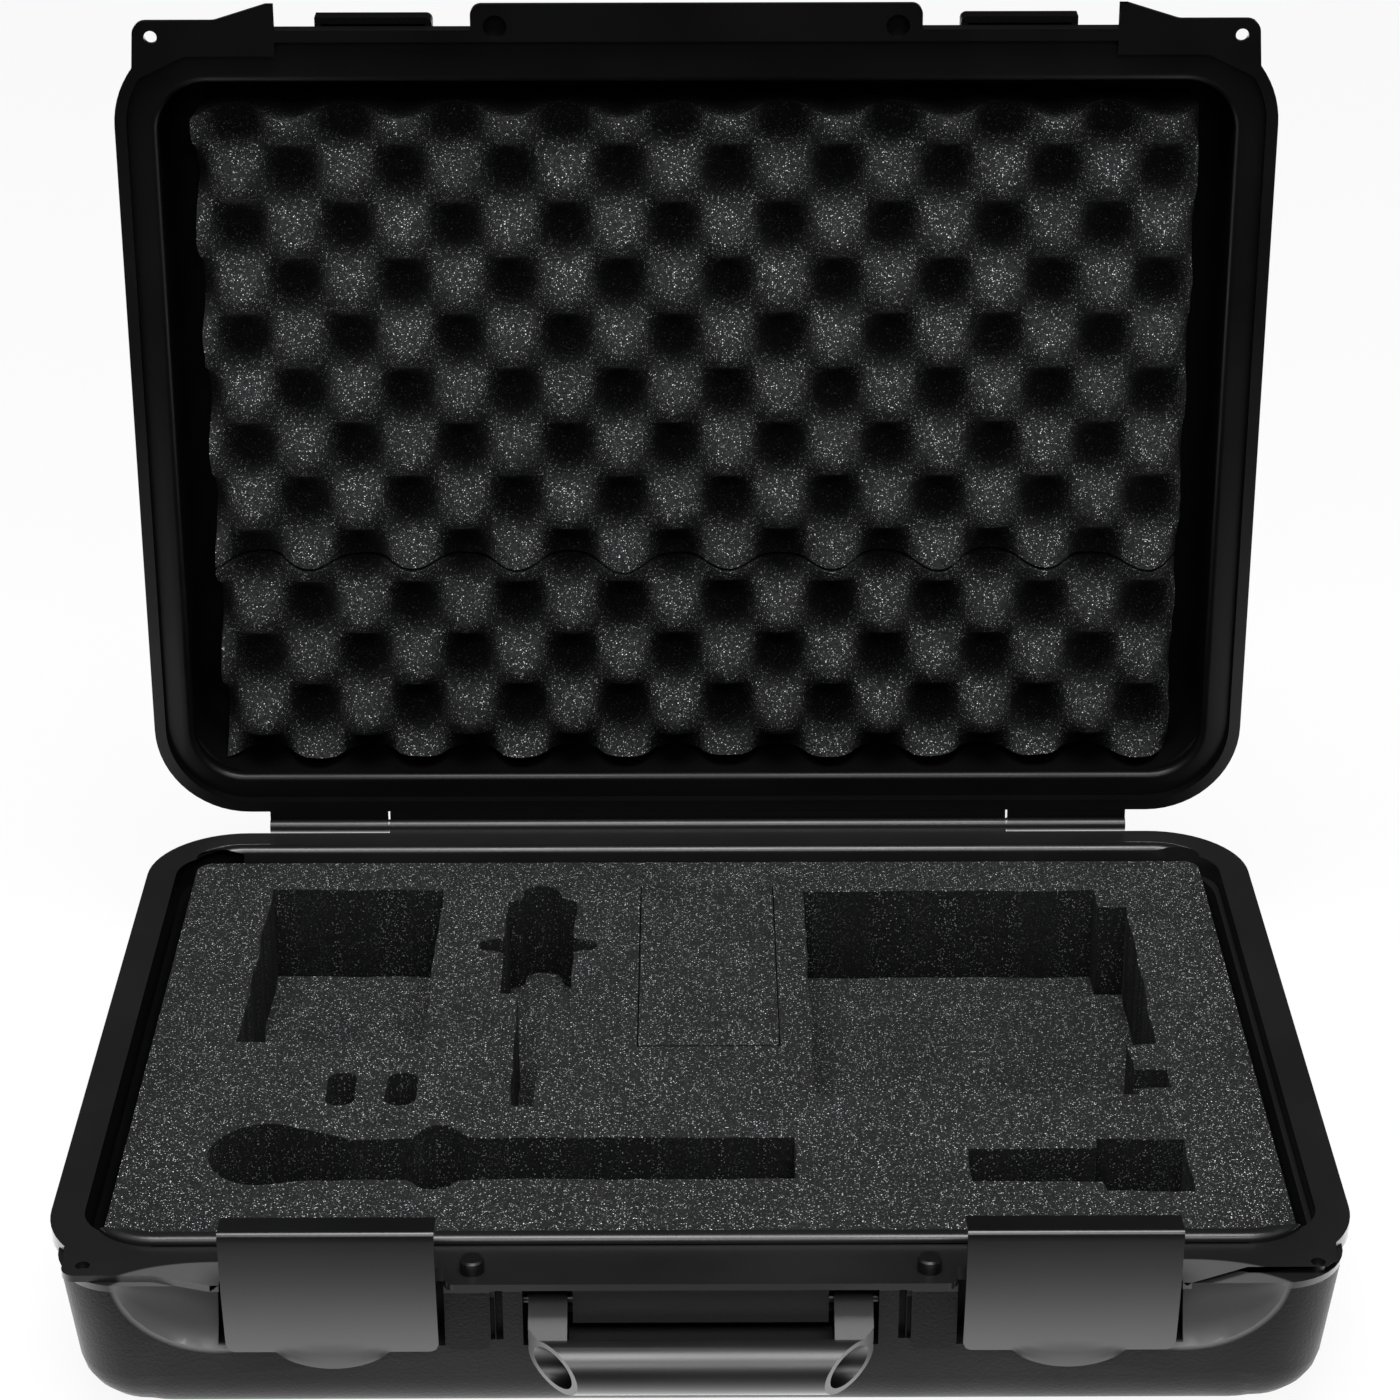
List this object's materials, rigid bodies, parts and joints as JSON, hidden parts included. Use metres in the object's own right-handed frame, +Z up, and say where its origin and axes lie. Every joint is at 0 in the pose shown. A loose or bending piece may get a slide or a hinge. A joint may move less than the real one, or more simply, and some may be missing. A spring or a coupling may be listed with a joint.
{
  "type": "equipment case",
  "caption": "Hinged moulded carrying case, standing open, with cut foam for a wireless microphone system, egg-crate foam in the lid, draw latches and a swinging handle.",
  "frame": {"origin": "middle of the rim's plan at the level of the flat underside", "axes": "+X along the hinge to the right seen from the handle, +Y from the handle to the hinge, +Z up"},
  "size_m": [0.538, 0.485, 0.487],
  "materials": {
    "shell": "pebbled black plastic",
    "latch": "smooth satin black plastic",
    "handle": "satin black plastic",
    "base_foam": "open-cell foam, charcoal with fine speckles",
    "lid_foam": "egg-crate open-cell foam, charcoal with fine speckles",
    "steel": "plain steel rod"
  },
  "bodies": {
    "base": {"base_shell": "shell", "base_foam": "base_foam", "base_foam_floor": "base_foam", "foam_plug": "base_foam", "hinge_pin_left": "steel", "latch_base_pin_left": "steel", "handle_pin_left": "steel", "alignment_peg_left": "latch", "hinge_pin_right": "steel", "latch_base_pin_right": "steel", "handle_pin_right": "steel", "alignment_peg_right": "latch"},
    "lid": {"lid_shell": "shell", "lid_foam_upper": "lid_foam", "lid_foam_lower": "lid_foam"},
    "latch_link_left": {"latch_link_left": "latch"},
    "latch_plate_left": {"latch_plate_left": "latch", "latch_link_pin_left": "steel"},
    "latch_link_right": {"latch_link_right": "latch"},
    "latch_plate_right": {"latch_plate_right": "latch", "latch_link_pin_right": "steel"},
    "handle": {"handle": "handle"}
  },
  "joints": [
    {"name": "lid_hinge", "type": "hinge", "parent": "base", "child": "lid", "pos_m": [0, 0.2065, 0.07], "axis": [1, 0, 0], "range_deg": [0, 90]},
    {"name": "latch_link_left", "type": "hinge", "parent": "base", "child": "latch_link_left", "pos_m": [-0.149, -0.1955, 0.06], "axis": [-1, 0, 0], "range_deg": [-14, 60]},
    {"name": "latch_plate_left", "type": "hinge", "parent": "latch_link_left", "child": "latch_plate_left", "pos_m": [-0.149, -0.19889, 0.04642], "axis": [1, 0, 0], "range_deg": [-22.4, 96]},
    {"name": "latch_link_right", "type": "hinge", "parent": "base", "child": "latch_link_right", "pos_m": [0.149, -0.1955, 0.06], "axis": [-1, 0, 0], "range_deg": [-14, 60]},
    {"name": "latch_plate_right", "type": "hinge", "parent": "latch_link_right", "child": "latch_plate_right", "pos_m": [0.149, -0.19889, 0.04642], "axis": [1, 0, 0], "range_deg": [-22.4, 96]},
    {"name": "handle_swing", "type": "hinge", "parent": "base", "child": "handle", "pos_m": [0, -0.196, 0.054], "axis": [-1, 0, 0], "range_deg": [0, 60]}
  ],
  "couplings": [
    {"joint": "latch_plate_left", "follows": "latch_link_left", "ratio": 1.6},
    {"joint": "latch_plate_right", "follows": "latch_link_right", "ratio": 1.6}
  ]
}
